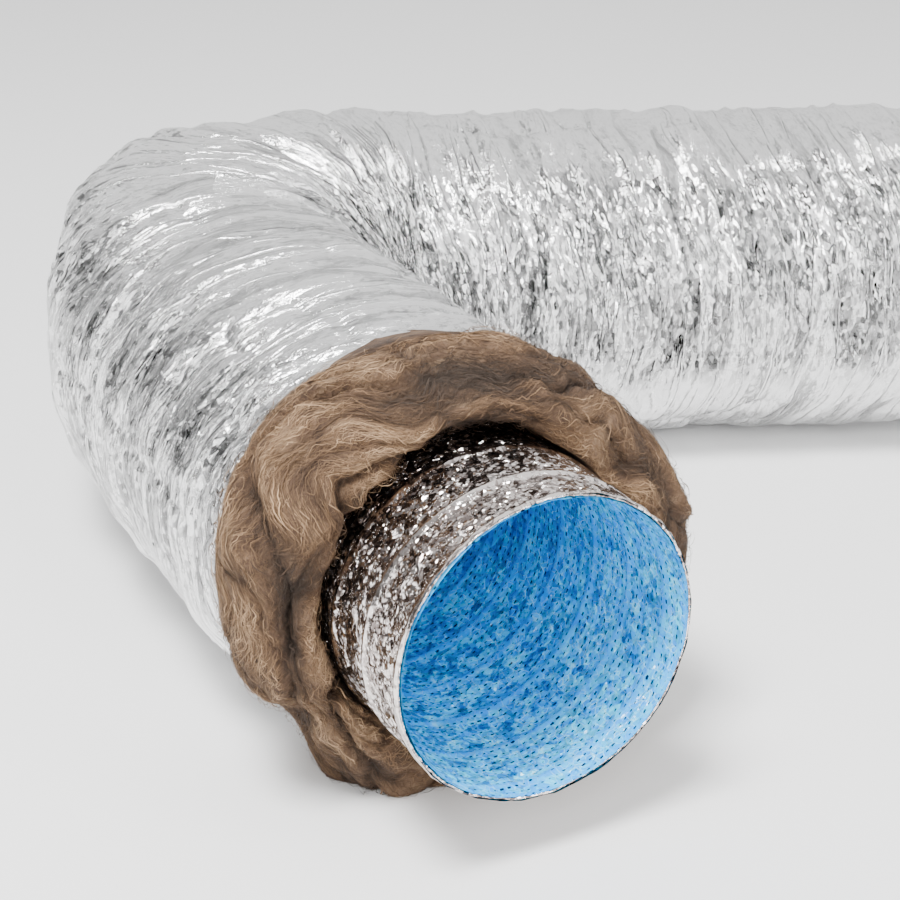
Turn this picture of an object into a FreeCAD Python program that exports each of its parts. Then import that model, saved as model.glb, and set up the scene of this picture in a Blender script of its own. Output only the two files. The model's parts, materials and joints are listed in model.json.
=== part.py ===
"""Insulated flexible air duct, 200 mm bore, lying in one sharp bend.

The duct is made of five layers on one centreline, from the inside out: a perforated film liner, a
spring wire helix, a foil sleeve, a fibre blanket and a foil jacket. The centreline starts at the
front mouth, goes back along the front limb, turns through the bend and follows the run to the rear
mouth. Each layer is cut where the duct flexes, stretches or slides, so that every moving length is a
solid of its own. The bend is cut into wedges that hinge on its outermost line, where the jacket is
taut, so they open like a fan and never run into each other. Units are millimetres. +Z is up, and +X
is along the run, out of the rear mouth. The origin is the centre of the bounding box on the floor.
"""
import math
import os

import FreeCAD
import Part
from FreeCAD import Vector

# Radii of the layers, from the air outwards
BORE_R = 101.5
LINER_WALL = 0.8
WIRE_R = 1.1
WIRE_CLEARANCE = 0.2
FOIL_WALL = 0.8
SLIDING_GAP = 0.4
JACKET_R = 150.0
JACKET_WALL = 1.2
JACKET_GAP = 0.3

LINER_R = BORE_R + LINER_WALL
WIRE_AXIS_R = LINER_R + WIRE_CLEARANCE + WIRE_R
FOIL_BORE_R = WIRE_AXIS_R + WIRE_R + WIRE_CLEARANCE
FOIL_R = FOIL_BORE_R + FOIL_WALL
BLANKET_BORE_R = FOIL_R + SLIDING_GAP
JACKET_BORE_R = JACKET_R - JACKET_WALL
BLANKET_R = JACKET_BORE_R - JACKET_GAP

# Wire helix: left-handed, with one turn crossing the top of the core at WIRE_TOP_STATION
WIRE_PITCH = 43.0
WIRE_TOP_STATION = 37.0
WIRE_END_GAP = 0.5
WIRE_MOUTH_INSET = 2.0
WIRE_ARCS_PER_TURN = 8

# The bend, seen from above
BEND_DEG = 113.36
BEND_R = 172.0
BEND_WEDGES = 4

# Lengths along the centreline, from the front mouth to the rear mouth
CORE_BARE = 98.0
BLANKET_BARE = 75.0
FRONT_GRIP = 52.0
FRONT_FLEX = 150.0
FRONT_LIMB = 126.2
RUN_BASE = 250.0
RUN_STRETCH = 240.0
REAR_GRIP = 160.0
SECTION_GAP = 0.2

# The front end lifts about a line this far above the centreline, halfway along the flexing length
LIFT_AXIS_RISE = 60.0

BEND_RAD = math.radians(BEND_DEG)
BEND_LENGTH = BEND_R * BEND_RAD
TANGENT = BEND_R * math.tan(BEND_RAD / 2)
FRONT_LENGTH = CORE_BARE + BLANKET_BARE + FRONT_GRIP + FRONT_FLEX + FRONT_LIMB
RUN_LENGTH = RUN_BASE + RUN_STRETCH + REAR_GRIP + BLANKET_BARE + CORE_BARE
BEND_START = FRONT_LENGTH
BEND_END = BEND_START + BEND_LENGTH
TOTAL_LENGTH = BEND_END + RUN_LENGTH

UP = Vector(0, 0, 1)
RUN_DIRECTION = Vector(1, 0, 0)
# The front limb leaves the bend pointing this way, out of the front mouth
MOUTH_AZIMUTH = math.pi + BEND_RAD
MOUTH_DIRECTION = Vector(math.cos(MOUTH_AZIMUTH), math.sin(MOUTH_AZIMUTH), 0)


def corner_from_box():
    """Where the two straight centrelines would cross, with the origin at the box's bottom centre."""
    low_x = TANGENT - BEND_R - JACKET_R
    high_x = TANGENT + RUN_LENGTH
    mouth_y = MOUTH_DIRECTION.y * (TANGENT + FRONT_LENGTH)
    low_y = mouth_y - FOIL_R * abs(MOUTH_DIRECTION.x)
    high_y = JACKET_R
    return Vector(-(low_x + high_x) / 2, -(low_y + high_y) / 2, JACKET_R)


CORNER = corner_from_box()
RUN_START = CORNER + RUN_DIRECTION * TANGENT
BEND_CENTRE = RUN_START + Vector(0, -BEND_R, 0)
FRONT_MOUTH = CORNER + MOUTH_DIRECTION * (TANGENT + FRONT_LENGTH)
REAR_MOUTH = RUN_START + RUN_DIRECTION * RUN_LENGTH


def heading_at(station):
    """Unit direction of travel, from the front mouth towards the rear mouth."""
    if station <= BEND_START:
        return MOUTH_DIRECTION * -1
    if station >= BEND_END:
        return Vector(RUN_DIRECTION)
    left_to_turn = (BEND_END - station) / BEND_R
    return Vector(math.cos(left_to_turn), math.sin(left_to_turn), 0)


def point_at(station):
    """Point on the centreline."""
    if station <= BEND_START:
        return FRONT_MOUTH + heading_at(station) * station
    if station >= BEND_END:
        return RUN_START + RUN_DIRECTION * (station - BEND_END)
    heading = heading_at(station)
    return BEND_CENTRE + Vector(-heading.y, heading.x, 0) * BEND_R


def bend_hinges():
    """Points on the outermost line of the bend where its wedges meet, from the front to the rear."""
    step = BEND_LENGTH / BEND_WEDGES
    meets = [point_at(BEND_START + step * i) for i in range(BEND_WEDGES + 1)]
    return [BEND_CENTRE + (p - BEND_CENTRE) * ((BEND_R + JACKET_R) / BEND_R) for p in meets]


def lift_hinge():
    """Point on the line that the front end lifts about, above the middle of the flexing length."""
    middle = CORE_BARE + BLANKET_BARE + FRONT_GRIP + FRONT_FLEX / 2
    return point_at(middle) + UP * LIFT_AXIS_RISE


def spoke(station, degrees, radius):
    """Point at a radius from the centreline. Degrees run from the top to the right of the travel."""
    heading = heading_at(station)
    side = heading.cross(UP)
    angle = math.radians(degrees)
    return point_at(station) + UP * (math.cos(angle) * radius) + side * (math.sin(angle) * radius)


def ring_face(station, inner_r, outer_r):
    """Flat ring across the centreline."""
    centre = point_at(station)
    heading = heading_at(station)
    outer, inner = (Part.Face(Part.Wire(Part.makeCircle(r, centre, heading))) for r in (outer_r, inner_r))
    return outer.cut(inner).Faces[0]


def in_bend(start, end):
    return BEND_START <= start and end <= BEND_END


def sleeve(start, end, inner_r, outer_r):
    """Tube between two stations, which both lie in the bend or both outside it."""
    start += SECTION_GAP / 2
    end -= SECTION_GAP / 2
    face = ring_face(start, inner_r, outer_r)
    if in_bend(start, end):
        turn = math.degrees((end - start) / BEND_R)
        return face.revolve(BEND_CENTRE, UP, -turn)
    return face.extrude(heading_at(start) * (end - start))


def wire_angle(station):
    return -360.0 * (station - WIRE_TOP_STATION) / WIRE_PITCH


def wire_spine(start, end):
    """Helix along the centreline, straight or bent, as arcs that each pass through three of its points."""
    count = math.ceil((end - start) / WIRE_PITCH * WIRE_ARCS_PER_TURN)
    step = (end - start) / count
    arcs = []
    for i in range(count):
        first = start + i * step
        stations = (first, first + step / 2, first + step)
        arcs.append(Part.Arc(*[spoke(s, wire_angle(s), WIRE_AXIS_R) for s in stations]).toShape())
    return Part.Wire(arcs)


def wire_length(start, end):
    """Round wire along the helix between two stations."""
    gap = WIRE_END_GAP / (2 * math.pi * WIRE_AXIS_R) * WIRE_PITCH
    start = max(start + gap, WIRE_MOUTH_INSET)
    end = min(end - gap, TOTAL_LENGTH - WIRE_MOUTH_INSET)
    spine = wire_spine(start, end)
    first = spine.OrderedEdges[0]
    tangent = first.tangentAt(first.FirstParameter)
    section = Part.Wire(Part.makeCircle(WIRE_R, first.valueAt(first.FirstParameter), tangent))
    return spine.makePipeShell([section], True, False)


def running(start, lengths):
    """Turns (name, length) pairs into (name, start, end) from a first station."""
    spans = []
    for name, length in lengths:
        spans.append((name, start, start + length))
        start += length
    return spans


JACKET_SPANS = running(CORE_BARE + BLANKET_BARE, [
    ("front_end", FRONT_GRIP),
    ("front_flex", FRONT_FLEX),
    ("front_limb", FRONT_LIMB),
    *[(f"elbow_{i + 1}", BEND_LENGTH / BEND_WEDGES) for i in range(BEND_WEDGES)],
    ("run_base", RUN_BASE),
    ("run_stretch", RUN_STRETCH),
    ("rear_end", REAR_GRIP),
])


def blanket_spans():
    """The blanket reaches past the jacket at both ends."""
    spans = list(JACKET_SPANS)
    name, start, end = spans[0]
    spans[0] = (name, start - BLANKET_BARE, end)
    name, start, end = spans[-1]
    spans[-1] = (name, start, end + BLANKET_BARE)
    return spans


def core_spans():
    """The core reaches past the blanket at both ends, as a length of its own that slides."""
    spans = blanket_spans()
    front = ("front_core", spans[0][1] - CORE_BARE, spans[0][1])
    rear = ("rear_core", spans[-1][2], spans[-1][2] + CORE_BARE)
    return [front, *spans, rear]


def build_nodes():
    nodes = {}
    for name, start, end in JACKET_SPANS:
        nodes["jacket_" + name] = sleeve(start, end, JACKET_BORE_R, JACKET_R)
    for name, start, end in blanket_spans():
        nodes["insulation_" + name] = sleeve(start, end, BLANKET_BORE_R, BLANKET_R)
    for name, start, end in core_spans():
        nodes["foil_" + name] = sleeve(start, end, FOIL_BORE_R, FOIL_R)
        nodes["wire_" + name] = wire_length(start, end)
        nodes["liner_" + name] = sleeve(start, end, BORE_R, LINER_R)
    return nodes


def main():
    os.makedirs("parts", exist_ok=True)
    for name, shape in build_nodes().items():
        solids = shape.Solids
        if len(solids) != 1 or not solids[0].isValid():
            raise RuntimeError(f"{name} isn't one valid solid")
        solids[0].exportStep(f"parts/{name}.step")
        print(f"{name}: {solids[0].Volume / 1000:.2f} cm3")
    for number, hinge in enumerate(bend_hinges(), 1):
        print(f"elbow hinge {number}: {hinge}")
    print(f"lift hinge: {lift_hinge()}")
    print(f"front mouth {FRONT_MOUTH}, pointing {MOUTH_DIRECTION}; rear mouth {REAR_MOUTH}")
    print(f"bend centre {BEND_CENTRE}; centreline {TOTAL_LENGTH:.1f} mm")


if __name__ == "__main__":
    main()
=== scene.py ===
import json
import math

import bpy
import numpy as np
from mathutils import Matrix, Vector

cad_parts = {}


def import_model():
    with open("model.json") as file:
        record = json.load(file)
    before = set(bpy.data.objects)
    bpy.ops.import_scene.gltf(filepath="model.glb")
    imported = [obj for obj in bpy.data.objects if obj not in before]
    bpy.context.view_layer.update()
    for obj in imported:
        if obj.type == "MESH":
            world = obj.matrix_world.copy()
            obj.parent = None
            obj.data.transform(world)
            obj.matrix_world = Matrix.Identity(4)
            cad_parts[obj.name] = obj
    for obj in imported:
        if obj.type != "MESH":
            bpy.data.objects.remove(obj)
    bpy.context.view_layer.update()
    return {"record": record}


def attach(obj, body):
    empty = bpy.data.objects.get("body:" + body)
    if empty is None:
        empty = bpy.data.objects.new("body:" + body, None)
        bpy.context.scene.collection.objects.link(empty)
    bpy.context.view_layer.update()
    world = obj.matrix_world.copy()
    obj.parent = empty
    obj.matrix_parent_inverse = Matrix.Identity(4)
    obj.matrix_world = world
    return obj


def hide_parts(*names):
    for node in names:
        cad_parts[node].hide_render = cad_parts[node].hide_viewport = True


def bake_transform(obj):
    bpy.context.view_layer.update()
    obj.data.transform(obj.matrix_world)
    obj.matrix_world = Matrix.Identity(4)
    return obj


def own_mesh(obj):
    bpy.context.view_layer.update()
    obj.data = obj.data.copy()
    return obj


# Insulated flexible air duct. Every layer is a tube on one centreline. A place on it is a station, the
# distance along the centreline from the front mouth, and an angle round it: 0 at the top, a quarter
# turn on the inner side of the bend. Everything is in metres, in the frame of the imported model.

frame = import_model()

# ---------------------------------------------------------------- lengths along the centreline

BEND_R = 0.172
BEND_WEDGES = 4
CORE_BARE = 0.098
BLANKET_BARE = 0.075
FRONT_GRIP = 0.052
FRONT_FLEX = 0.150
RUN_BASE = 0.250
RUN_STRETCH = 0.240
WIRE_PITCH = 0.043
WIRE_TOP_STATION = 0.037

JACKET_R = 0.150
# The jacket's folds run round the duct in bows, this far back at the sides
BOW = 0.034
WOOL_R = 0.1365
WOOL_BORE_R = 0.1068
WIRE_AXIS_R = 0.1036
WIRE_R = 0.0009
FOIL_R = 0.1032
LINER_R = 0.1016
FIBRE_LOWEST = 0.0003
FIBRE_HIGHEST = 0.3165

mounts = {m["name"]: m for m in frame["record"]["mounts"]}
FRONT_MOUTH = np.array(mounts["front_mouth"]["pos_m"], float)
REAR_MOUTH = np.array(mounts["rear_mouth"]["pos_m"], float)
FRONT_OUT = np.array(mounts["front_mouth"]["axis"], float)
FRONT_OUT /= np.linalg.norm(FRONT_OUT)
REAR_OUT = np.array([1.0, 0.0, 0.0])
UP = np.array([0.0, 0.0, 1.0])

TURN = math.acos(float(-FRONT_OUT @ REAR_OUT))
TANGENT = BEND_R * math.tan(TURN / 2)
BACK_TO_CORNER = (FRONT_MOUTH[1] - REAR_MOUTH[1]) / FRONT_OUT[1]
CORNER = FRONT_MOUTH - FRONT_OUT * BACK_TO_CORNER
BEND_START = BACK_TO_CORNER - TANGENT
BEND_END = BEND_START + BEND_R * TURN
RUN_START = CORNER + REAR_OUT * TANGENT
BEND_CENTRE = RUN_START - np.array([0.0, BEND_R, 0.0])
LENGTH = BEND_END + float((REAR_MOUTH - RUN_START) @ REAR_OUT)
WEDGE = (BEND_END - BEND_START) / BEND_WEDGES

CUFF = CORE_BARE + BLANKET_BARE
REAR_CUFF = LENGTH - CUFF
FLEX_START = CUFF + FRONT_GRIP
FLEX_END = FLEX_START + FRONT_FLEX
STRETCH_START = BEND_END + RUN_BASE
STRETCH_END = STRETCH_START + RUN_STRETCH

# The lengths round the first and last hinge reach this far along the straight limbs
LIMB_REACH = 0.040


def heading_at(s):
    """Unit directions of travel at stations s, from the front mouth to the rear one."""
    left = np.clip((BEND_END - np.asarray(s, float)) / BEND_R, 0, TURN)
    return np.stack([np.cos(left), np.sin(left), np.zeros_like(left)], -1)


def centre_at(s):
    """Points of the centreline at stations s."""
    s = np.asarray(s, float)[..., None]
    h = heading_at(s[..., 0])
    outward = np.stack([-h[..., 1], h[..., 0], np.zeros_like(h[..., 0])], -1)
    bent = BEND_CENTRE + outward * BEND_R
    front = FRONT_MOUTH - FRONT_OUT * s
    run = RUN_START + REAR_OUT * (s - BEND_END)
    return np.where(s < BEND_START, front, np.where(s > BEND_END, run, bent))


def place(s, angle, radius, rise=0.0):
    """Points at a radius from the centreline. All arguments are arrays of one shape."""
    h = heading_at(s)
    side = np.stack([h[..., 1], -h[..., 0], np.zeros_like(h[..., 0])], -1)
    across = side * (np.sin(angle) * radius)[..., None]
    return centre_at(s) + across + UP * (np.cos(angle) * radius + rise)[..., None]


def smooth(x, low, high):
    t = np.clip((np.asarray(x, float) - low) / (high - low), 0, 1)
    return t * t * (3 - 2 * t)


def mound(x, middle, width):
    return np.exp(-(((np.asarray(x, float) - middle) / width) ** 2))


# ---------------------------------------------------------------- noise


def hashed(cell, seed):
    """A repeatable number from -1 to 1 for each whole-number cell."""
    n = cell[..., 0] * 374761393 + cell[..., 1] * 668265263 + cell[..., 2] * 1274126177 + seed * 974711
    n = (n ^ (n >> 13)) * 1103515245 & 0x7FFFFFFF
    n = (n ^ (n >> 15)) * 12345677 & 0x7FFFFFFF
    return (n & 0xFFFF) / 32767.5 - 1


def noise(p, size, seed):
    """Smooth noise from -1 to 1 with lumps of about the given size. size may differ by axis."""
    q = p / np.asarray(size, float)
    cell = np.floor(q).astype(np.int64)
    f = q - cell
    f = f * f * f * (f * (f * 6 - 15) + 10)
    total = 0.0
    for corner in np.ndindex(2, 2, 2):
        weight = np.prod(np.where(corner, f, 1 - f), -1)
        total = total + weight * hashed(cell + np.array(corner), seed)
    return total


def ridges(p, size, seed, sharp=2.0):
    """Thin raised creases, from 0 between them to 1 on their crests."""
    return (1 - np.abs(noise(p, size, seed))) ** sharp


def creased(s, a, size, around, seed):
    """Noise from -1 to 1 made of flat triangles with straight folds between them, as crumpled film has.

    size is a triangle's length along the duct, and around is how many go round it.
    """
    u, v = s / size, (a / (2 * math.pi) + 0.5) * around
    loop = np.stack([s / size, np.sin(a) * around / 6, np.cos(a) * around / 6], -1)
    u = u + 0.45 * noise(loop, 1.3, seed + 1)
    v = v + 0.30 * noise(loop, 1.7, seed + 2)
    i, j = np.floor(u), np.floor(v)
    fu, fv = u - i, v - j
    upper = fu + fv > 1

    def height(di, dj):
        cell = np.stack([i + di, (j + dj) % around, np.zeros_like(i)], -1).astype(np.int64)
        return hashed(cell, seed)

    low = height(0, 0) * (1 - fu - fv) + height(1, 0) * fu + height(0, 1) * fv
    high = height(1, 1) * (fu + fv - 1) + height(0, 1) * (1 - fu) + height(1, 0) * (1 - fv)
    return np.where(upper, high, low)


# ---------------------------------------------------------------- meshes


def rows_between(start, end, step):
    """Stations from start to end, closer together at each hinge of the bend."""
    extra = []
    for k in range(BEND_WEDGES + 1):
        plane = BEND_START + WEDGE * k
        near = 0.0004 * np.arange(0, 9)
        far = near[-1] + np.cumsum(0.0004 * 1.18 ** np.arange(1, 12))
        offsets = np.concatenate([near, far])
        extra.append(plane + np.concatenate([-offsets[:0:-1], offsets]))
    dense = np.concatenate(extra)
    even = np.linspace(start, end, max(2, round((end - start) / step) + 1))
    gap = np.abs(even[:, None] - dense[None, :]).min(1)
    near_hinge = np.zeros(len(even), bool)
    for block in extra:
        near_hinge |= (even > block[0]) & (even < block[-1])
    keep = ~near_hinge | (even == start) | (even == end)
    keep &= (gap > step * 0.2) | (even == start) | (even == end)
    inside = dense[(dense > start + 1e-6) & (dense < end - 1e-6)]
    return np.unique(np.round(np.concatenate([even[keep], inside]), 7))


def grid_normals(p):
    """Outward vertex normals of a grid of points whose columns close into rings."""
    along = np.gradient(p, axis=0)
    round_ = np.roll(p, -1, 1) - np.roll(p, 1, 1)
    n = np.cross(round_, along)
    return n / np.maximum(np.linalg.norm(n, axis=-1, keepdims=True), 1e-12)


def mesh_object(name, points, faces, material, normals=None, attributes=None):
    """A smooth mesh from flat arrays. attributes are per vertex: vectors or numbers."""
    mesh = bpy.data.meshes.new(name)
    mesh.from_pydata(points.tolist(), [], faces.tolist())
    mesh.shade_smooth()
    for key, values in (attributes or {}).items():
        vector = values.ndim == 2
        layer = mesh.attributes.new(key, "FLOAT_VECTOR" if vector else "FLOAT", "POINT")
        layer.data.foreach_set("vector" if vector else "value", values.astype(np.float32).ravel())
    if normals is not None:
        mesh.normals_split_custom_set_from_vertices(normals.tolist())
    mesh.materials.append(material)
    obj = bpy.data.objects.new(name, mesh)
    bpy.context.scene.collection.objects.link(obj)
    return obj


def ring_faces(rows, columns, flip=False):
    i, j = np.meshgrid(np.arange(rows - 1), np.arange(columns), indexing="ij")
    k = (j + 1) % columns
    faces = np.stack([i * columns + j, i * columns + k, (i + 1) * columns + k, (i + 1) * columns + j], -1)
    faces = faces.reshape(-1, 4)
    return faces[:, ::-1] if flip else faces


# ---------------------------------------------------------------- how each length of duct moves


def hinge_blend():
    """A move for the length round a hinge of the bend, which only bakes the piece's placement into its mesh.
    """

    def move(obj, core):
        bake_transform(obj)
    return move


def flex_blend(obj, core):
    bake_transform(obj)


def riding(body):
    return lambda obj, core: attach(obj, body)


def front_end_moves(obj, core):
    """The jacket and blanket ride the front end. The core inside them rides it too, with a mesh of its own."""
    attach(obj, "front_end")
    if core:
        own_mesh(obj)


def rear_end_moves(obj, core):
    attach(obj, "rear_end")
    if core:
        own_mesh(obj)


def stretch_moves(obj, core):
    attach(obj, "run")
    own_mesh(obj)


def bend_lengths():
    lengths = []
    for k in range(BEND_WEDGES + 1):
        plane = BEND_START + WEDGE * k
        start = plane - (LIMB_REACH if k == 0 else WEDGE / 2)
        end = plane + (LIMB_REACH if k == BEND_WEDGES else WEDGE / 2)
        node = f"elbow_{k + 1}" if k < BEND_WEDGES else None
        lengths.append((f"bend_{k + 1}", start, end, node, hinge_blend()))
    return lengths


# name, first station, last station, the CAD length it stands for, how it moves
LENGTHS = [
    ("front_core", 0.0, CORE_BARE, "front_core", riding("front_core")),
    ("front_end", CORE_BARE, FLEX_START, "front_end", front_end_moves),
    ("front_flex", FLEX_START, FLEX_END, "front_flex", flex_blend),
    ("front_limb", FLEX_END, BEND_START - LIMB_REACH, "front_limb", riding("front_limb")),
    *bend_lengths(),
    ("run_base", BEND_END + LIMB_REACH, STRETCH_START, "run_base", riding("run")),
    ("run_stretch", STRETCH_START, STRETCH_END, "run_stretch", stretch_moves),
    ("rear_end", STRETCH_END, LENGTH - CORE_BARE, "rear_end", rear_end_moves),
    ("rear_core", LENGTH - CORE_BARE, LENGTH, "rear_core", riding("rear_core")),
]


def finish_piece(obj, layer, node, move, core):
    move(obj, core)
    if node:
        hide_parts(f"{layer}_{node}")


def tube(layer, prefix, material, first, last, step, columns, radius, core=False, rise=None,
         inward=False):
    """One layer of the duct as a tube, cut into its lengths. radius(s, angle, straight) shapes it.

    core says that the layer is part of the core, whose pieces in the two end lengths get meshes of their own,
    and inward that its shown side faces the air inside.
    """
    cuts = [c for length in LENGTHS for c in length[1:3] if first < c < last]
    cuts = sorted({first, last, *cuts})
    rows = np.unique(np.concatenate([rows_between(a, b, step) for a, b in zip(cuts, cuts[1:])]))
    angles = np.linspace(-math.pi, math.pi, columns, endpoint=False)
    s, a = np.meshgrid(rows, angles, indexing="ij")
    nominal = JACKET_R if layer == "jacket" else FOIL_R
    straight = np.stack([s, np.sin(a) * nominal, np.cos(a) * nominal], -1)
    r = radius(s, a, straight)
    points = place(s, a, r, rise(s, a) if rise else 0.0)
    if layer == "jacket":
        points[..., 2] = above_floor(points[..., 2])
    normals = grid_normals(points)
    if inward:
        normals = -normals
    for name, start, end, node, move in LENGTHS:
        low, high = max(start, first), min(end, last)
        if low >= high:
            continue
        pick = (rows > low - 1e-6) & (rows < high + 1e-6)
        p, n, q = points[pick], normals[pick], straight[pick]
        count = int(pick.sum())
        faces = ring_faces(count, columns, flip=inward)
        calm = near_wire(s[pick], a[pick]).ravel()
        obj = mesh_object(f"{prefix}_{name}", p.reshape(-1, 3), faces, material, n.reshape(-1, 3),
                          {"straight": q.reshape(-1, 3), "calm": calm})
        finish_piece(obj, layer, node, move, core)


def above_floor(z):
    """Presses what would reach the floor flat on it."""
    soft = 0.0016
    return (z + np.sqrt(z * z + soft * soft)) / 2 + 0.0002


# ---------------------------------------------------------------- materials


class Nodes:
    """Builds a node tree with short calls. Scales are per metre and bump distances in metres."""

    def __init__(self, owner):
        owner.use_nodes = True
        self.owner = owner
        self.tree = owner.node_tree
        self.tree.nodes.clear()

    def add(self, kind, settings=None, **inputs):
        """A node with its inputs set by name, or by number as i0, i1 and so on."""
        node = self.tree.nodes.new(kind)
        for key, value in (settings or {}).items():
            setattr(node, key, value)
        for key, value in inputs.items():
            self.set(node.inputs[int(key[1:]) if key[0] == "i" and key[1:].isdigit() else key], value)
        return node

    def set(self, socket, value):
        if isinstance(value, bpy.types.NodeSocket):
            self.tree.links.new(value, socket)
        else:
            socket.default_value = value

    def attribute(self, name, output="Vector"):
        node = self.add("ShaderNodeAttribute", {"attribute_name": name})
        return node.outputs[output]

    def math(self, operation, a, b=0.0, c=0.0):
        return self.add("ShaderNodeMath", {"operation": operation}, i0=a, i1=b, i2=c).outputs[0]

    def vectors(self, operation, a, b, output="Vector"):
        return self.add("ShaderNodeVectorMath", {"operation": operation}, i0=a, i1=b).outputs[output]

    def scaled(self, vector, scale):
        return self.vectors("MULTIPLY", vector, scale)

    def noise(self, vector, scale, detail=3.0, roughness=0.55, distortion=0.0):
        node = self.add("ShaderNodeTexNoise", None, Vector=vector, Scale=scale, Detail=detail,
                        Roughness=roughness, Distortion=distortion)
        return node.outputs["Fac"]

    def from_edges(self, vector, scale):
        """Distance from the edges between cells."""
        node = self.add("ShaderNodeTexVoronoi", {"feature": "DISTANCE_TO_EDGE"}, Vector=vector, Scale=scale)
        return node.outputs["Distance"]

    def ramp(self, factor, *stops):
        node = self.add("ShaderNodeValToRGB", None, Fac=factor)
        elements = node.color_ramp.elements
        for index, (position, colour) in enumerate(stops):
            element = elements[index] if index < 2 else elements.new(position)
            element.position = position
            element.color = (*colour, 1.0) if isinstance(colour, tuple) else (colour, colour, colour, 1.0)
        return node.outputs["Color"]

    def mix(self, factor, a, b, blend="MIX"):
        node = self.add("ShaderNodeMix", {"data_type": "RGBA", "blend_type": blend})
        self.set(node.inputs[0], factor)
        self.set(node.inputs[6], a if isinstance(a, bpy.types.NodeSocket) else (*a, 1.0))
        self.set(node.inputs[7], b if isinstance(b, bpy.types.NodeSocket) else (*b, 1.0))
        return node.outputs[2]

    def bump(self, height, distance, strength=1.0, normal=None):
        node = self.add("ShaderNodeBump", None, Height=height, Distance=distance, Strength=strength)
        if normal is not None:
            self.set(node.inputs["Normal"], normal)
        return node.outputs["Normal"]

    def surface(self, **inputs):
        shader = self.add("ShaderNodeBsdfPrincipled")
        for key, value in inputs.items():
            self.set(shader.inputs[key.replace("_", " ")], value)
        out = self.add("ShaderNodeOutputMaterial")
        self.tree.links.new(shader.outputs[0], out.inputs[0])
        return self.owner

    def tilted_cells(self, vector, scale, squeeze):
        """Height of flat patches that each tilt their own way, and a tone for each patch. squeeze stretches
        them along some axes. The tone is the patch's tilt in the second direction, so where it is used as
        colour it is a painted reflection: patches tilted one way are painted lighter.
        """
        spot = self.scaled(vector, tuple(scale * k for k in squeeze))
        cells = self.add("ShaderNodeTexVoronoi", {"feature": "F1"}, Vector=spot, Scale=1.0)
        away = self.vectors("SUBTRACT", spot, cells.outputs["Position"])
        tilt = self.vectors("SUBTRACT", cells.outputs["Color"], (0.5, 0.5, 0.5))
        height = self.vectors("DOT_PRODUCT", away, tilt, "Value")
        # The tone is the tilt's second part: as a colour it is a painted reflection, lighter where a patch
        # tilts one way
        shade = self.add("ShaderNodeSeparateColor", None, Color=cells.outputs["Color"]).outputs["Green"]
        return height, shade

    def warped(self, vector, scale, amount, along=(1.0, 1.0, 1.0)):
        """The vector pushed about by smooth noise."""
        wander = self.add("ShaderNodeTexNoise", None, Vector=vector, Scale=scale, Detail=2.0)
        centred = self.vectors("SUBTRACT", wander.outputs["Color"], (0.5, 0.5, 0.5))
        push = self.scaled(centred, tuple(amount * k for k in along))
        return self.vectors("ADD", vector, push)


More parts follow.
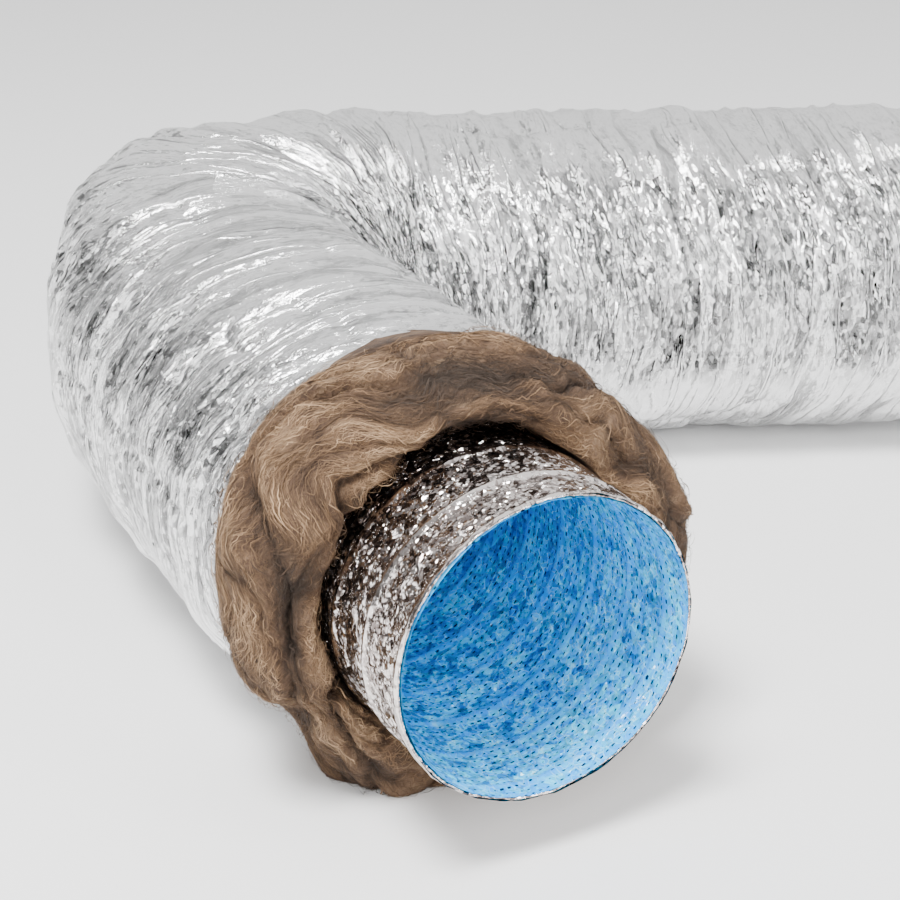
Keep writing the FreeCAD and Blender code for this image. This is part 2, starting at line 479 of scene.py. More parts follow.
def jacket_material():
    n = Nodes(bpy.data.materials.new("jacket_foil"))
    parts = n.add("ShaderNodeSeparateXYZ", None, Vector=n.attribute("straight"))
    side = n.math("DIVIDE", parts.outputs[1], JACKET_R)
    bowed = n.math("SUBTRACT", parts.outputs[0], n.math("MULTIPLY", n.math("MULTIPLY", side, side), BOW))
    flat = n.add("ShaderNodeCombineXYZ", None, X=bowed, Y=parts.outputs[1], Z=parts.outputs[2]).outputs[0]
    # The film's bumps are stronger along both sides than on the top and underside. Its colour is painted
    # reflection by height: even light grey on the top and underside, and dark patches and bright facets along
    # both sides
    level = n.math("MULTIPLY", parts.outputs[2], 0.5 / JACKET_R)
    level = n.math("ADD", level, n.math("MULTIPLY", n.noise(flat, 22.0, 3.0), 0.16))
    crumpled = n.ramp(n.math("ADD", level, 0.42), (0.26, 0.0), (0.38, 1.0), (0.86, 1.0), (0.93, 0.0))
    flat = n.warped(flat, 9.0, 0.020, (1.0, 0.3, 0.3))
    streaks = n.scaled(flat, (1.0, 0.09, 0.09))
    panes, _ = n.tilted_cells(flat, 30.0, (1.0, 0.26, 0.26))
    facets, facet_shade = n.tilted_cells(flat, 88.0, (1.0, 0.24, 0.24))
    blades, blade_shade = n.tilted_cells(flat, 105.0, (1.0, 0.09, 0.09))
    raised = n.ramp(blade_shade, (0.60, 0.0), (0.63, 1.0))
    blades = n.math("MULTIPLY", blades, raised)
    crinkles, crinkle_shade = n.tilted_cells(flat, 400.0, (1.0, 0.42, 0.42))
    grain = n.noise(flat, 420.0, 3.0, 0.6)
    # painted reflection: facets of the taut film are painted a little lighter or darker with their tilt
    taut = n.ramp(crinkle_shade, (0.0, 0.78), (0.35, 0.86), (1.0, 0.90))
    mixed = n.math("ADD", n.math("MULTIPLY", crinkle_shade, 0.6), n.math("MULTIPLY", facet_shade, 0.4))
    # painted reflection: facets of the crumpled sides are painted from dark grey to bright with their tilt
    loose = n.ramp(mixed, (0.18, 0.28), (0.46, 0.50), (0.70, 0.88))
    # painted highlight: the raised blades are painted near white
    loose = n.mix(n.math("MULTIPLY", raised, 0.85), loose, (0.95, 0.95, 0.95))
    colour = n.mix(crumpled, taut, loose)
    crease_with_painted_highlight = n.math("ABSOLUTE", n.math("SUBTRACT", n.noise(streaks, 40.0, 2.0, 0.5), 0.5))
    crease_with_painted_highlight = n.ramp(crease_with_painted_highlight, (0.0, 1.0), (0.022, 0.0))
    # painted highlight: thin near-white lines painted along the creases
    colour = n.mix(n.math("MULTIPLY", crease_with_painted_highlight, 0.6), colour, (0.97, 0.97, 0.97))
    roughness = n.ramp(crinkle_shade, (0.0, 0.10), (1.0, 0.20))
    strength = n.math("MULTIPLY_ADD", crumpled, 0.62, 0.38)
    normal = n.bump(panes, 0.0190, 1.0)
    normal = n.bump(facets, 0.0150, strength, normal)
    normal = n.bump(blades, 0.0120, 1.0, normal)
    normal = n.bump(crease_with_painted_highlight, 0.0016, 1.0, normal)
    normal = n.bump(crinkles, 0.0034, strength, normal)
    normal = n.bump(grain, 0.0007, 1.0, normal)
    return n.surface(Base_Color=colour, Metallic=1.0, Roughness=roughness, Normal=normal)


def core_material():
    n = Nodes(bpy.data.materials.new("core_foil"))
    straight = n.attribute("straight")
    flat = n.warped(straight, 60.0, 0.006)
    station = n.add("ShaderNodeSeparateXYZ", None, Vector=straight).outputs[0]
    # painted shade and reflection: from about 5 cm in from either mouth, fully by about 9 cm, the foil is
    # painted near black, as the shaded inside reflecting the dark wool
    edge = n.math("MINIMUM", station, n.math("SUBTRACT", LENGTH, station))
    inside = n.math("ADD", n.math("MULTIPLY", edge, 9.0), n.math("MULTIPLY", n.noise(flat, 40.0), 0.45))
    facets, facet_shade = n.tilted_cells(flat, 235.0, (1.0, 0.8, 0.8))
    crinkles, crinkle_shade = n.tilted_cells(flat, 520.0, (1.0, 0.9, 0.9))
    # painted reflection: each facet of the foil is painted lighter or darker with its tilt
    shade = n.math("ADD", n.math("MULTIPLY", facet_shade, 0.55), n.math("MULTIPLY", crinkle_shade, 0.45))
    calm = n.attribute("calm", "Fac")
    # painted highlight: the foil over the wire, at the mouths and on the hems is painted lighter
    shade = n.math("ADD", shade, n.math("MULTIPLY", calm, 0.25))
    silver = n.ramp(shade, (0.24, (0.20, 0.165, 0.155)), (0.46, (0.50, 0.44, 0.415)),
                    (0.70, (0.88, 0.82, 0.79)))
    painted_deep_shade = n.ramp(shade, (0.36, (0.030, 0.023, 0.021)), (0.58, (0.12, 0.095, 0.085)),
                  (0.76, (0.74, 0.68, 0.66)))
    colour = n.mix(n.ramp(inside, (0.70, 0.0), (1.00, 1.0)), silver, painted_deep_shade)
    rough = n.math("SUBTRACT", 1.0, n.math("MULTIPLY", calm, 0.9))
    normal = n.bump(facets, 0.0042, rough)
    normal = n.bump(crinkles, 0.0017, rough, normal)
    return n.surface(Base_Color=colour, Metallic=1.0, Roughness=0.13, Normal=normal)


def liner_material():
    n = Nodes(bpy.data.materials.new("liner_film"))
    flat = n.attribute("straight")
    parts = n.add("ShaderNodeSeparateXYZ", None, Vector=n.warped(flat, 60.0, 0.0022))
    round_ = n.math("MULTIPLY", n.math("ARCTAN2", parts.outputs[1], parts.outputs[2]), 108 / (2 * math.pi))
    rows = n.math("MULTIPLY", parts.outputs[0], 1 / 0.0060)
    rows = n.math("ADD", rows, n.math("MULTIPLY", round_, 1 / 6))
    across = n.math("ABSOLUTE", n.math("SUBTRACT", n.math("FRACT", rows), 0.5))
    along = n.math("ABSOLUTE", n.math("SUBTRACT", n.math("FRACT", round_), 0.5))
    slit = n.math("MAXIMUM", n.math("MULTIPLY", across, 1.25), n.math("MULTIPLY", along, 0.60))
    broken = n.math("MULTIPLY", n.noise(flat, 130.0, 2.0), 0.34)
    hole = n.ramp(n.math("ADD", slit, broken), (0.255, 1.0), (0.280, 0.0))
    calm = n.attribute("calm", "Fac")
    bent = n.warped(flat, 60.0, 0.006)
    facets, facet_shade = n.tilted_cells(bent, 165.0, (1.0, 0.7, 0.7))
    crinkles, crinkle_shade = n.tilted_cells(bent, 380.0, (1.0, 0.8, 0.8))
    # painted reflection: each facet of the film is painted a lighter or deeper blue with its tilt
    shade = n.math("ADD", n.math("MULTIPLY", facet_shade, 0.55), n.math("MULTIPLY", crinkle_shade, 0.45))
    colour = n.ramp(shade, (0.15, (0.002, 0.35, 0.98)), (0.50, (0.006, 0.50, 1.0)), (0.85, (0.04, 0.70, 1.0)))
    # painted highlight: thin pale cyan lines are painted along the crinkles' edges, standing for glints
    edges = n.ramp(n.from_edges(bent, 190.0), (0.0, 1.0), (0.070, 0.0))
    edges = n.math("MULTIPLY", edges, n.ramp(n.noise(flat, 90.0, 2.0), (0.40, 0.0), (0.52, 0.85)))
    colour = n.mix(edges, colour, (0.35, 0.85, 1.0))
    colour = n.mix(n.math("MULTIPLY", calm, 0.45), colour, (0.012, 0.30, 0.86))
    colour = n.mix(hole, colour, (0.004, 0.016, 0.06))
    rough = n.math("SUBTRACT", 1.0, n.math("MULTIPLY", calm, 0.9))
    normal = n.bump(facets, 0.0060, rough)
    normal = n.bump(crinkles, 0.0026, rough, normal)
    normal = n.bump(hole, -0.0008, 1.0, normal)
    return n.surface(Base_Color=colour, Roughness=0.16, Specular_IOR_Level=0.45, Normal=normal)


def wool_material():
    n = Nodes(bpy.data.materials.new("glass_wool"))
    flat = n.attribute("straight")
    tone = n.noise(n.scaled(n.warped(flat, 30.0, 0.02), (1.0, 0.5, 0.5)), 60.0, 6.0, 0.65, 1.0)
    colour = n.ramp(tone, (0.34, (0.028, 0.015, 0.008)), (0.50, (0.09, 0.050, 0.028)),
                    (0.66, (0.19, 0.120, 0.070)))
    # painted shade: the wool is painted near black down in the furrows between its folds
    painted_furrow_shade = n.ramp(n.attribute("shade", "Fac"), (0.25, 1.0), (0.75, 0.0))
    colour = n.mix(n.math("MULTIPLY", painted_furrow_shade, 0.7), colour, (0.018, 0.010, 0.006))
    normal = n.bump(n.noise(n.scaled(flat, (1.0, 0.4, 0.4)), 300.0, 5.0, 0.7, 2.0), 0.003, 0.8)
    return n.surface(Base_Color=colour, Roughness=0.95, Normal=normal)


def fibre_material():
    n = Nodes(bpy.data.materials.new("wool_fibres"))
    shade = n.attribute("shade", "Fac")
    # darker where strands lie low in the furrows: painted shade, mixed with each strand's own random tone
    colour = n.ramp(shade, (0.0, (0.010, 0.0050, 0.002)), (0.42, (0.058, 0.029, 0.0125)),
                    (0.75, (0.165, 0.092, 0.043)), (1.0, (0.42, 0.27, 0.15)))
    speckle = n.noise(n.attribute("straight"), 700.0, 2.0)
    colour = n.mix(n.math("MULTIPLY", speckle, 0.35), colour, (0.10, 0.06, 0.035))
    return n.surface(Base_Color=colour, Roughness=0.85)


def wire_material():
    n = Nodes(bpy.data.materials.new("spring_wire"))
    flat = n.attribute("straight")
    tone = n.ramp(n.noise(flat, 500.0), (0.3, 0.35), (0.7, 0.6))
    return n.surface(Base_Color=tone, Metallic=1.0, Roughness=0.35)


# ---------------------------------------------------------------- shapes of the layers


def in_bend(s, reach=0.06):
    entered = smooth(s, BEND_START - reach, BEND_START + reach)
    return entered * (1 - smooth(s, BEND_END - reach, BEND_END + reach))


# How much further out, and further forward, the front end's wool stands at each eighth of the way round:
# bottom, lower outer side, outer side, upper outer side, top, upper inner side, inner side, lower inner side
FRONT_PUFF = (0.012, -0.018, -0.004, 0.002, -0.013, 0.000, 0.008, 0.006)
FRONT_REACH = (0.0, 0.0, 0.0, 0.002, 0.008, 0.014, 0.032, 0.018)


def around(angle, values):
    """Smooth values round the duct, from eight of them."""
    turned = (angle / (2 * math.pi) + 0.5) * len(values)
    first = np.floor(turned).astype(int)
    f = smooth(turned - first, 0, 1)
    values = np.asarray(values)
    return values[first % len(values)] * (1 - f) + values[(first + 1) % len(values)] * f


def pressed(s, a):
    """How far the outer side of the front limb is pushed in, just before the bend."""
    return 0.010 * mound(s, BEND_START + 0.015, 0.080) * mound(a, -1.75, 0.70)


def jacket_radius(s, a, straight):
    """Long folds and creases round the duct, crowded pleats inside the bend, and a shoulder outside it."""
    bend = in_bend(s)
    inner = (1 + np.sin(a)) / 2
    straight = straight - BOW * np.sin(a)[..., None] ** 2 * np.array([1.0, 0.0, 0.0])
    drift = noise(straight, (0.12, 0.10, 0.10), 3) * 0.014 + noise(straight, (0.05, 0.05, 0.05), 4) * 0.005
    warped = straight + drift[..., None] * np.array([1.0, 0.0, 0.0])
    folds = ridges(warped, (0.034, 0.150, 0.150), 11, 2.5)
    pinches = ridges(warped, (0.045, 0.060, 0.060), 16, 5.0)
    creases = ridges(warped, (0.013, 0.085, 0.085), 12, 3.0)
    big = creased(warped[..., 0], a, 0.034, 14, 17)
    middle = creased(warped[..., 0], a, 0.014, 26, 18)
    small = creased(warped[..., 0], a, 0.0075, 54, 19)
    pleats = ridges(warped, (0.021, 0.40, 0.40), 14, 1.6)
    r = JACKET_R - 0.0050 + 0.0034 * folds + 0.0017 * creases - 0.0030 * pinches
    r = r + 0.0024 * big + 0.0012 * middle + 0.0003 * small
    r = r + bend * (pleats - 0.35) * 0.0085 * (0.35 + 0.65 * inner)
    shoulder = BEND_START + 0.46 * (BEND_END - BEND_START)
    r = r + 0.030 * mound(s, shoulder, 0.062) * mound(a, -0.92, 0.46)
    r = r - pressed(s, a)
    edge = np.minimum(s - CUFF, REAR_CUFF - s)
    r = r * smooth(edge, -0.012, 0.014) + (JACKET_R - 0.0015) * (1 - smooth(edge, -0.012, 0.014))
    return r + np.minimum(0, around(a, FRONT_PUFF)) * 0.85 * (1 - smooth(s, CUFF + 0.005, CUFF + 0.075))


def jacket_rise(s, a):
    """The bend stands a little taller than it is wide, because its sides are pressed in."""
    return in_bend(s, 0.09) * np.clip(np.cos(a), 0, 1) * 0.008


def wire_distance(s, a):
    """How far along the duct the nearest turn of the wire is."""
    turns = (s - WIRE_TOP_STATION) / WIRE_PITCH + a / (2 * math.pi)
    return np.abs(turns - np.round(turns)) * WIRE_PITCH


def over_wire(s, a):
    d = wire_distance(s, a)
    return np.exp(-((d / 0.0022) ** 2))


def near_wire(s, a):
    """1 over the wire and at the mouths, where the film is taut and smooth, falling to 0."""
    edge = np.minimum(s, LENGTH - s)
    return np.clip(np.exp(-((wire_distance(s, a) / 0.0042) ** 2)) + np.exp(-((edge / 0.006) ** 2)), 0, 1)


def rim(s):
    """The last turn at each mouth, where the films are folded over the wire's end."""
    edge = np.minimum(s, LENGTH - s)
    return np.exp(-(((edge - 0.002) / 0.0024) ** 2))


def foil_radius(s, a, straight):
    crumples = creased(s, a, 0.0085, 74, 21) + 0.5 * creased(s, a, 0.0042, 150, 23)
    wave = noise(straight, (0.02, 0.04, 0.04), 22)
    between = 1 - over_wire(s, a)
    ridge = np.maximum(over_wire(s, a), rim(s))
    return FOIL_R + 0.0017 * ridge + between * (0.0007 * crumples + 0.0003 * wave)


def liner_radius(s, a, straight):
    crumples = creased(s, a, 0.0080, 70, 31) + 0.5 * creased(s, a, 0.0045, 140, 33)
    between = 1 - np.maximum(over_wire(s, a), rim(s))
    return LINER_R - 0.0002 - 0.0010 * over_wire(s, a) + between * (0.00065 * crumples + 0.0002)


def hem(name, station, inward, body, material):
    """The rolled edge of a mouth, where the foil is turned in over the liner."""
    columns, sides = 300, 12
    angles = np.linspace(-math.pi, math.pi, columns, endpoint=False)
    turn = np.linspace(0, 2 * math.pi, sides, endpoint=False)
    a, b = np.meshgrid(angles, turn, indexing="ij")
    flat = np.stack([np.zeros_like(a), np.sin(a) * FOIL_R, np.cos(a) * FOIL_R], -1)
    thick = 0.0009 + 0.0002 * noise(flat, 0.012, 41) + 0.00025 * creased(b * 0.002, a, 0.002, 90, 42)
    middle = 0.1030 + 0.0005 * noise(flat, 0.03, 43)
    s = station + inward * (0.0012 + 0.0006 * noise(flat, 0.02, 44) - np.cos(b) * thick * 0.8)
    r = middle + np.sin(b) * thick
    points = place(s, a, r)
    flat = np.stack([s, np.sin(a) * r, np.cos(a) * r], -1)
    # The last ring joins the first
    faces = ring_faces(columns + 1, sides, flip=inward > 0) % (columns * sides)
    obj = mesh_object(name, points.reshape(-1, 3), faces, material,
                      attributes={"straight": flat.reshape(-1, 3), "calm": np.full(columns * sides, 0.2)})
    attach(obj, body)


def wire_pieces(material):
    """The wire helix, a thin tube that winds between the foil and the liner."""
    sides = 6
    for name, start, end, node, move in LENGTHS:
        low, high = max(start, 0.002), min(end, LENGTH - 0.002)
        count = max(3, math.ceil((high - low) / WIRE_PITCH * 48))
        s = np.linspace(low, high, count)
        a = -2 * math.pi * (s - WIRE_TOP_STATION) / WIRE_PITCH
        middle = place(s, a, np.full(count, WIRE_AXIS_R))
        outward = middle - centre_at(s)
        outward /= np.linalg.norm(outward, axis=1, keepdims=True)
        along = heading_at(s)
        turn = np.linspace(0, 2 * math.pi, sides, endpoint=False)
        ring = outward[:, None] * np.cos(turn)[:, None] + along[:, None] * np.sin(turn)[:, None]
        points = middle[:, None] + ring * WIRE_R
        faces = ring_faces(count, sides)
        flat = np.stack([s, np.sin(a) * FOIL_R, np.cos(a) * FOIL_R], -1)
        obj = mesh_object(f"helix_{name}", points.reshape(-1, 3), faces, material,
                          attributes={"straight": np.repeat(flat, sides, 0)})
        finish_piece(obj, "wire", node, move, True)


# ---------------------------------------------------------------- the blanket


def wool_profile(bound):
    """Outline of the dressed end of the blanket in (station, radius), from the cut at bound round to it."""
    knots = np.array([
        (bound, WOOL_R), (CUFF + 0.030, 0.1385), (CUFF + 0.008, 0.1455), (CUFF + 0.001, 0.1480),
        (CUFF - 0.008, 0.1530), (CUFF - 0.024, 0.1575), (CUFF - 0.045, 0.1560),
        (CORE_BARE + 0.014, 0.149), (CORE_BARE + 0.002, 0.138), (CORE_BARE - 0.003, 0.125),
        (CORE_BARE + 0.001, 0.1145), (CORE_BARE + 0.012, 0.1090), (CORE_BARE + 0.040, WOOL_BORE_R),
        (bound, WOOL_BORE_R),
    ])
    steps = np.linalg.norm(np.diff(knots, axis=0), axis=1)
    t = np.concatenate([[0], np.cumsum(steps)])
    fine = np.linspace(0, t[-1], round(t[-1] / 0.0022) + 1)
    curve = np.stack([np.interp(fine, t, knots[:, k]) for k in (0, 1)], -1)
    kernel = np.hanning(9)
    kernel /= kernel.sum()
    padded = np.concatenate([np.repeat(curve[:1], 4, 0), curve, np.repeat(curve[-1:], 4, 0)])
    curve = np.stack([np.convolve(padded[:, k], kernel, "valid") for k in (0, 1)], -1)
    return curve, fine


def furrows(p, size, seed):
    """Rounded folds, up to 1, with narrow furrows between them, down to 0."""
    return np.minimum(1, np.abs(noise(p, size, seed)) * 2.4) ** 0.55


def wool_flow(t, angle, seed):
    """Coordinates over the dressed end in which the folds of the wool are straight, and the push to them."""
    flow = np.stack([t, np.sin(angle) * 0.13, np.cos(angle) * 0.13], -1)
    push = noise(flow, (0.050, 0.042, 0.042), seed) * 0.017
    push = push + noise(flow, (0.020, 0.020, 0.020), seed + 1) * 0.008
    return flow, push + noise(flow, (0.010, 0.011, 0.011), seed + 5) * 0.0022


def wool_end(name, bound, rear, node, move, material, fibres, seed):
    """The dressed end of the blanket: a puffed ring of folded wool with loose fibres on it."""
    columns = 420
    curve, t = wool_profile(LENGTH - bound if rear else bound)
    angles = np.linspace(-math.pi, math.pi, columns, endpoint=False)
    tangent = np.gradient(curve, axis=0)
    tangent /= np.linalg.norm(tangent, axis=1, keepdims=True)
    outward = np.stack([tangent[:, 1], -tangent[:, 0]], -1)
    shown = (1 - smooth(curve[:, 0], CUFF - 0.012, CUFF + 0.006)) * smooth(curve[:, 1], WOOL_BORE_R, 0.112)
    tt, aa = np.meshgrid(t, angles, indexing="ij")
    flow, push = wool_flow(tt, aa, seed)
    bent = flow + push[..., None] * np.array([1.0, 0.0, 0.0])
    folds = furrows(bent, (0.034, 0.120, 0.120), seed + 2)
    lumps = noise(flow, (0.05, 0.045, 0.045), seed + 3)
    tufts = furrows(bent, (0.013, 0.050, 0.050), seed + 4)
    lift = shown[:, None] * (0.0150 * (folds - 0.75) + 0.0050 * lumps + 0.0065 * (tufts - 0.7))
    s = curve[:, :1] + outward[:, :1] * lift
    r = curve[:, 1:] + outward[:, 1:] * lift
    if not rear:
        high = smooth(curve[:, 1:], 0.112, 0.150) * shown[:, None]
        # The wool also sags outwards where it reaches the floor on the outer side
        r = r + (around(aa, FRONT_PUFF) + 0.020 * mound(aa, -2.70, 0.32)) * high
        s = s - around(aa, FRONT_REACH) * shown[:, None] * (1 - smooth(curve[:, :1], CUFF - 0.05, CUFF + 0.01))
    s = np.minimum(s, CUFF + 0.2)
    if rear:
        s = LENGTH - s
        r = r - 0.006 * shown[:, None]
    r = np.maximum(r, WOOL_BORE_R)
    points = place(s, aa, r)
    points[..., 2] = above_floor(points[..., 2])
    rows = len(t)
    faces = ring_faces(rows, columns, flip=not rear)
    cap = ring_faces(2, columns, flip=rear)
    cap = np.where(cap < columns, cap, cap - columns + (rows - 1) * columns)
    flat = np.stack([s, np.sin(aa) * r, np.cos(aa) * r], -1)
    # Low in the furrows between folds, where the wool material paints shade
    shade = (0.55 * folds + 0.45 * tufts).ravel()
    obj = mesh_object(f"wool_{name}", points.reshape(-1, 3), np.concatenate([faces, cap]), material,
                      attributes={"straight": flat.reshape(-1, 3), "shade": shade})
    finish_piece(obj, "insulation", node, move, False)
    wool_fibres(name, points, 0.6 * folds + 0.4 * tufts, t, shown, rear, move, fibres, seed)


def clear_of_core(points, rear):
    """Points moved straight out from the centreline of an end, where they would touch the core inside."""
    mouth, out = (REAR_MOUTH, REAR_OUT) if rear else (FRONT_MOUTH, FRONT_OUT)
    along = ((points - mouth) @ out)[..., None] * out
    across = points - mouth - along
    distance = np.linalg.norm(across, axis=-1, keepdims=True)
    return mouth + along + across * np.maximum(1, (WOOL_BORE_R + 0.0002) / distance)


def wool_fibres(name, points, folds, t, shown, rear, move, material, seed):
    """Thin flat strands that follow the folds over the exposed wool."""
    rng = np.random.default_rng(seed)
    count, steps = 26000, 9
    rows, columns = points.shape[:2]
    seen = np.flatnonzero(shown > 0.35)
    start_t = t[seen[0]] + rng.random(count) * (t[seen[-1]] - t[seen[0]])
    start_a = rng.uniform(-math.pi, math.pi, count)
    reach = rng.uniform(0.03, 0.16, count) * rng.choice([-1, 1], count)
    where = np.linspace(0, 1, steps)
    a = start_a[:, None] + reach[:, None] * where
    _, first = wool_flow(start_t, start_a, seed)
    fold = start_t + first
    tt = np.repeat(start_t[:, None], steps, 1)
    stray = np.cumsum(rng.normal(0, 0.0010, (count, steps)), 1)
    for k in range(1, steps):
        guess = tt[:, k - 1]
        for _ in range(3):
            _, push = wool_flow(guess, a[:, k], seed)
            guess = 0.5 * guess + 0.5 * (fold - push)
        tt[:, k] = np.clip(guess + stray[:, k], t[seen[0]], t[seen[-1]])
    row = np.clip((tt - t[0]) / (t[1] - t[0]), 0, rows - 1.001)
    col = (a + math.pi) / (2 * math.pi) * columns
    i, j = np.floor(row).astype(int), np.floor(col).astype(int)
    fr, fc = (row - i)[..., None], (col - j)[..., None]

    def sample(grid):
        j0, j1 = j % columns, (j + 1) % columns
        upper = grid[i, j0] * (1 - fc) + grid[i, j1] * fc
        lower = grid[i + 1, j0] * (1 - fc) + grid[i + 1, j1] * fc
        return upper * (1 - fr) + lower * fr

    normals = grid_normals(points) * (1 if rear else -1)
    base, up = sample(points), sample(normals)
    up /= np.linalg.norm(up, axis=-1, keepdims=True)
    tone = sample(folds[..., None])[..., 0]
    loose = np.where(rng.random(count) < 0.12, rng.uniform(0.001, 0.0050, count), 0.0)[:, None]
    lift = rng.uniform(0.0001, 0.0011, count)[:, None] + loose * np.sin(where * math.pi * 0.9)
    middle = base + up * lift[..., None]
    along = np.gradient(middle, axis=1)
    along /= np.maximum(np.linalg.norm(along, axis=-1, keepdims=True), 1e-9)
    side = np.cross(along, up)
    side /= np.maximum(np.linalg.norm(side, axis=-1, keepdims=True), 1e-9)
    lean = rng.uniform(-0.5, 0.5, count)[:, None, None]
    side = side + up * lean
    is_thick = rng.random(count) < 0.16
    width = np.where(is_thick, rng.uniform(0.00025, 0.0004, count), rng.uniform(0.00009, 0.00017, count))
    width = width[:, None, None] * (0.15 + np.sin(where * math.pi))[:, None]
    pairs = clear_of_core(np.stack([middle - side * width, middle + side * width], 2), rear)
    pairs[..., 2] = np.clip(pairs[..., 2], FIBRE_LOWEST, FIBRE_HIGHEST)
    index = np.arange(count * steps * 2).reshape(count, steps, 2)
    faces = np.stack([index[:, :-1, 0], index[:, :-1, 1], index[:, 1:, 1], index[:, 1:, 0]], -1).reshape(-1, 4)
    # painted shade, with a random tone for each strand: strands are painted darker low in the furrows between
    # the folds
    shade = 0.47 + 1.55 * (tone - 0.74) + rng.normal(0, 0.15, count)[:, None]
    shade = np.repeat(np.clip(shade, 0, 1), 2, 1)
    flat = pairs.reshape(-1, 3)
    obj = mesh_object(f"fibres_{name}", flat, faces, material,
                      attributes={"straight": flat, "shade": shade.ravel()})
    move(obj, False)


def wool_rings(material):
    """The blanket inside the jacket: a thick ring for each length."""
    columns = 96
    angles = np.linspace(-math.pi, math.pi, columns, endpoint=False)
    for name, start, end, node, move in LENGTHS:
        if name in ("front_core", "rear_core", "front_end", "rear_end"):
            continue
        rows = rows_between(start, end, 0.012)
        s, a = np.meshgrid(rows, angles, indexing="ij")
        lumps = noise(np.stack([s, np.sin(a) * WOOL_R, np.cos(a) * WOOL_R], -1), 0.03, 51) * 0.0015
        lumps = lumps - pressed(s, a)
        outer = place(s, a, WOOL_R + lumps)
        outer[..., 2] = np.maximum(outer[..., 2], 0.004)
        inner = place(s[::-1], a, np.full(s.shape, WOOL_BORE_R))
        points = np.concatenate([outer, inner])
        faces = ring_faces(len(points), columns)
        cap = ring_faces(2, columns, flip=True)
        cap = np.where(cap >= columns, cap + (len(points) - 2) * columns, cap)
        r = np.concatenate([WOOL_R + lumps, np.full(s.shape, WOOL_BORE_R)])
        ss, ra = np.concatenate([s, s[::-1]]), np.concatenate([a, a])
        flat = np.stack([ss, np.sin(ra) * r, np.cos(ra) * r], -1)
        obj = mesh_object(f"wool_{name}", points.reshape(-1, 3), np.concatenate([faces, cap]), material,
                          attributes={"straight": flat.reshape(-1, 3), "shade": np.ones(flat.size // 3)})
        finish_piece(obj, "insulation", node, move, False)


# ---------------------------------------------------------------- the duct

jacket = jacket_material()
foil = core_material()
liner = liner_material()
wool = wool_material()
wire = wire_material()
fibres = fibre_material()

tube("jacket", "skin", jacket, CUFF, REAR_CUFF, 0.0024, 400, jacket_radius, rise=jacket_rise)
tube("foil", "core", foil, 0.0, LENGTH, 0.0022, 300, foil_radius, core=True)
tube("liner", "lining", liner, 0.0, LENGTH, 0.0022, 290, liner_radius, core=True, inward=True)
hem("hem_front", 0.0, 1, "front_core", foil)
hem("hem_rear", LENGTH, -1, "rear_core", foil)
wire_pieces(wire)
wool_rings(wool)
wool_end("front_end", FLEX_START, False, "front_end", front_end_moves, wool, fibres, 61)
wool_end("rear_end", STRETCH_END, True, "rear_end", rear_end_moves, wool, fibres, 71)

# ---------------------------------------------------------------- floor, lights and camera

CAMERA_FROM_CORNER = (0.15345, -1.78253, 0.62199)
VIEW = (0.073856, 0.909969, -0.408045)
WORLD = 1.45
LENS_MM = 81.76


def look_along(obj, direction):
    obj.rotation_euler = Vector(direction).to_track_quat("-Z", "Y").to_euler()


def area_light(name, where, towards, size, power):
    data = bpy.data.lights.new(name, "AREA")
    data.shape = "RECTANGLE"
    data.size, data.size_y = size
    data.energy = power
    obj = bpy.data.objects.new(name, data)
    bpy.context.scene.collection.objects.link(obj)
    obj.location = where
    look_along(obj, [b - a for a, b in zip(where, towards)])
    return obj


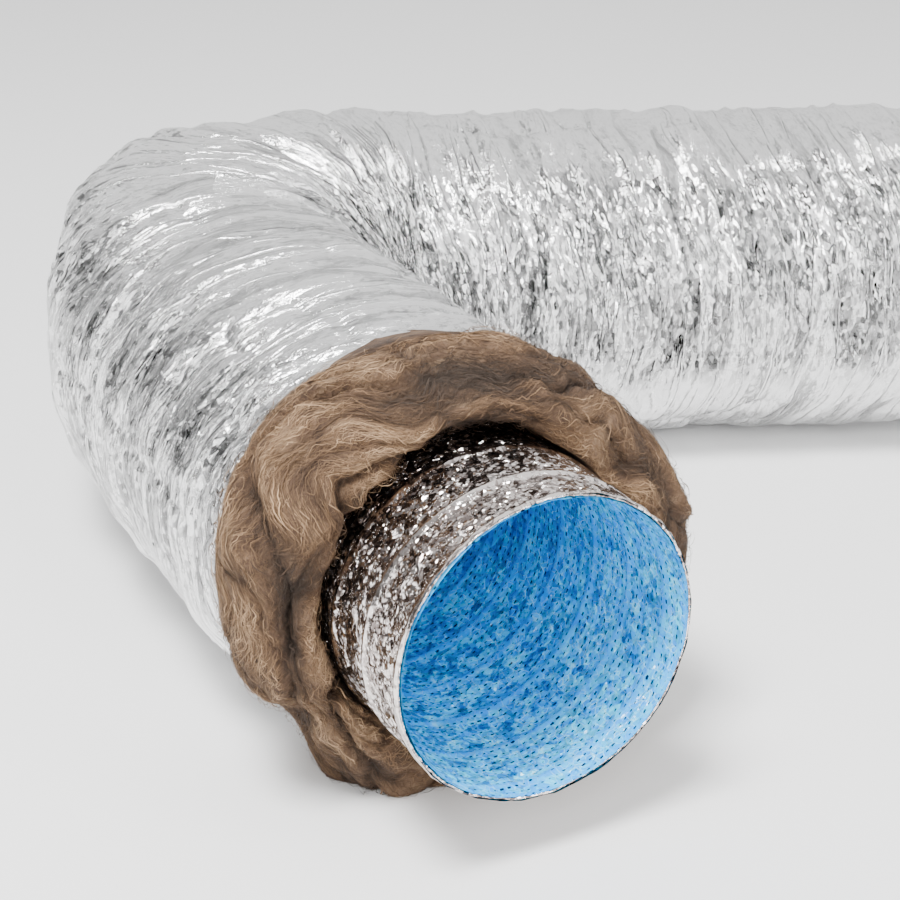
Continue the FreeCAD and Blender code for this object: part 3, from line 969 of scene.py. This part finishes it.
def floor():
    mesh = bpy.data.meshes.new("floor")
    half = 9.0
    corners = [(-half, -half, 0), (half, -half, 0), (half, half, 0), (-half, half, 0)]
    mesh.from_pydata(corners, [], [(0, 1, 2, 3)])
    n = Nodes(bpy.data.materials.new("floor"))
    mesh.materials.append(n.surface(Base_Color=(0.86, 0.86, 0.86, 1.0), Roughness=0.9))
    obj = bpy.data.objects.new("floor", mesh)
    bpy.context.scene.collection.objects.link(obj)


def world():
    """An even pale studio, dim towards the camera and the left. The camera itself sees plain pale grey."""
    studio = bpy.data.worlds.new("studio")
    bpy.context.scene.world = studio
    n = Nodes(studio)
    where = n.add("ShaderNodeTexCoord").outputs["Generated"]
    parts = n.add("ShaderNodeSeparateXYZ", None, Vector=where)
    turned = n.math("MULTIPLY_ADD", parts.outputs[0], 0.95, parts.outputs[1])
    open_side = n.ramp(n.math("MULTIPLY_ADD", turned, 0.5, 0.5), (0.42, 1.0), (0.53, 0.0))
    dim = n.ramp(parts.outputs[2], (0.10, 0.10), (0.95, 0.36))
    lit = n.add("ShaderNodeBackground", None, Color=n.mix(open_side, (0.95, 0.95, 0.95), dim), Strength=WORLD)
    plain = n.add("ShaderNodeBackground", None, Color=(0.9, 0.9, 0.9, 1.0))
    seen = n.add("ShaderNodeLightPath").outputs["Is Camera Ray"]
    chosen = n.add("ShaderNodeMixShader", None, i0=seen, i1=lit.outputs[0], i2=plain.outputs[0])
    n.add("ShaderNodeOutputWorld", None, Surface=chosen.outputs[0])


def camera():
    data = bpy.data.cameras.new("camera")
    data.lens = LENS_MM
    data.sensor_width = 36.0
    data.clip_end = 100.0
    obj = bpy.data.objects.new("camera", data)
    bpy.context.scene.collection.objects.link(obj)
    obj.location = CORNER + np.array(CAMERA_FROM_CORNER)
    look_along(obj, VIEW)
    bpy.context.scene.camera = obj


floor()
world()
area_light("key", (-1.0, -1.2, 3.0), (-0.3, 0.0, 0.1), (1.0, 1.0), 230)
# Upright strip lights 3 m away: degrees from straight in front, height in metres, power in watts
STRIPS = ((-62, 1.2, 9), (-34, 1.0, 20), (-8, 2.0, 30), (21, 1.1, 44), (48, 1.6, 26))
for number, (turn, height, power) in enumerate(STRIPS):
    across = math.radians(turn)
    spot = (-0.2 + 3.0 * math.sin(across), -3.0 * math.cos(across), height)
    area_light(f"strip_{number}", spot, (-0.2, 0.0, 0.15), (0.42, 1.3), power)
camera()
